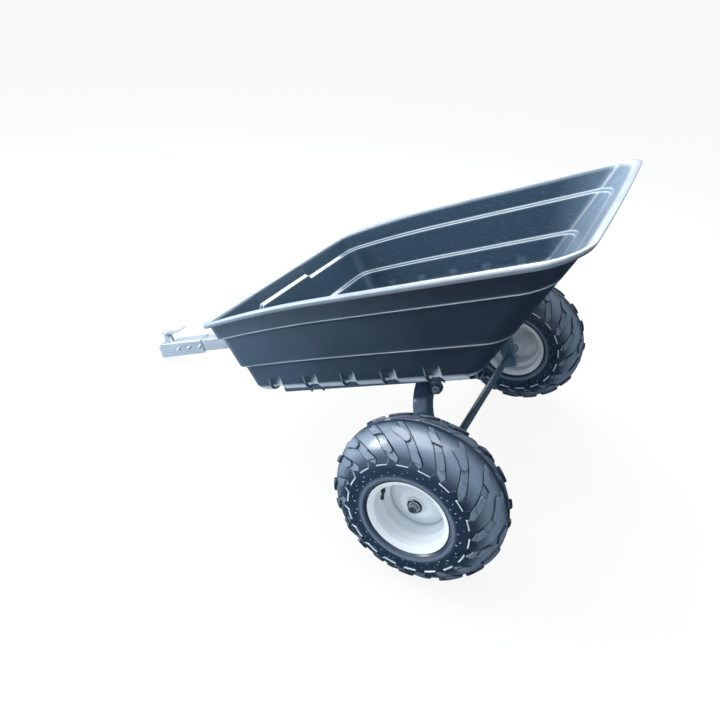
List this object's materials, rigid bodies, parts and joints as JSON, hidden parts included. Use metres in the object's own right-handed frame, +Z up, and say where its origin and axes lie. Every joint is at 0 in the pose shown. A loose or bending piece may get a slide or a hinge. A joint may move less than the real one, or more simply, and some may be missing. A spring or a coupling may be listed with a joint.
{
  "type": "garden cart",
  "caption": "Two-wheeled poly dump cart for towing: stepped black tub on a tipping rail frame, tube axle hoop, drawbar with ball coupler and chunky balloon tyres.",
  "frame": {"origin": "middle of the footprint on the ground: the parked cart stands on both tyres and the nose of its coupler", "axes": "+X to the rear, away from the coupler; +Y to the right of the cart; +Z up"},
  "size_m": [1.6104, 1.236, 1.0093],
  "materials": {
    "poly_tub": "rotation-moulded black polyethylene, satin",
    "black_paint": "gloss black powder coat on steel tube",
    "zinc_plate": "bright zinc-plated steel",
    "zinc_fastener": "zinc-plated bolts, nuts and pins",
    "bright_steel": "ground steel",
    "silver_paint": "silver paint on pressed steel",
    "tyre": "moulded tyre rubber",
    "valve_rubber": "snap-in rubber valve"
  },
  "bodies": {
    "chassis": {"axle_hoop": "black_paint", "axle": "black_paint", "drawbar": "zinc_plate", "gusset_plate": "zinc_plate", "gusset_bolt_1": "zinc_fastener", "gusset_bolt_2": "zinc_fastener", "gusset_bolt_3": "zinc_fastener", "gusset_bolt_4": "zinc_fastener", "coupler_body": "zinc_plate", "coupler_bolt_1": "zinc_fastener", "coupler_bolt_2": "zinc_fastener", "coupler_bolt_3": "zinc_fastener", "lever_pin": "zinc_fastener", "left_pivot_bracket": "black_paint", "left_pivot_bolt": "zinc_fastener", "left_spacer": "zinc_fastener", "left_washer": "zinc_fastener", "left_split_pin": "zinc_fastener", "right_pivot_bracket": "black_paint", "right_pivot_bolt": "zinc_fastener", "right_spacer": "zinc_fastener", "right_washer": "zinc_fastener", "right_split_pin": "zinc_fastener", "latch_bolt": "zinc_fastener"},
    "tipping_tub": {"tub": "poly_tub", "left_rail": "black_paint", "right_rail": "black_paint", "front_cross_member": "black_paint", "rear_cross_member": "black_paint", "left_rail_ear": "black_paint", "right_rail_ear": "black_paint", "left_tub_bolt_1": "zinc_fastener", "left_tub_bolt_2": "zinc_fastener", "left_tub_bolt_3": "zinc_fastener", "right_tub_bolt_1": "zinc_fastener", "right_tub_bolt_2": "zinc_fastener", "right_tub_bolt_3": "zinc_fastener", "striker": "black_paint"},
    "left_wheel": {"left_tyre": "tyre", "left_rim": "silver_paint", "left_valve": "valve_rubber", "left_hub": "silver_paint", "left_inner_bearing": "bright_steel", "left_outer_bearing": "bright_steel"},
    "right_wheel": {"right_tyre": "tyre", "right_rim": "silver_paint", "right_valve": "valve_rubber", "right_hub": "silver_paint", "right_inner_bearing": "bright_steel", "right_outer_bearing": "bright_steel"},
    "lever": {"coupler_lever": "zinc_plate"},
    "clamp": {"lock_bolt": "zinc_fastener", "ball_clamp": "zinc_plate", "clamp_spring": "bright_steel"},
    "latch": {"latch_lever": "black_paint"}
  },
  "joints": [
    {"name": "tub_tip", "type": "hinge", "parent": "chassis", "child": "tipping_tub", "pos_m": [0.48278, 0, 0.47799], "axis": [0, 1, 0], "range_deg": [0, 50]},
    {"name": "left_wheel_spin", "type": "hinge", "parent": "chassis", "child": "left_wheel", "pos_m": [0.53592, -0.519, 0.25], "axis": [0, 1, 0], "continuous": true},
    {"name": "right_wheel_spin", "type": "hinge", "parent": "chassis", "child": "right_wheel", "pos_m": [0.53592, 0.519, 0.25], "axis": [0, 1, 0], "continuous": true},
    {"name": "coupler_lever_lift", "type": "hinge", "parent": "chassis", "child": "lever", "pos_m": [-0.76536, 0, 0.10871], "axis": [0, 1, 0], "range_deg": [-80, 0]},
    {"name": "clamp_slide", "type": "slide", "parent": "chassis", "child": "clamp", "axis": [0.398, 0, -0.9174], "range_m": [0, 0.006]},
    {"name": "latch_swing", "type": "hinge", "parent": "chassis", "child": "latch", "pos_m": [0.01312, 0, 0.26409], "axis": [0, 1, 0], "range_deg": [0, 30]}
  ],
  "couplings": [
    {"joint": "clamp_slide", "follows": "coupler_lever_lift", "m_per_rad": -0.0042972}
  ]
}
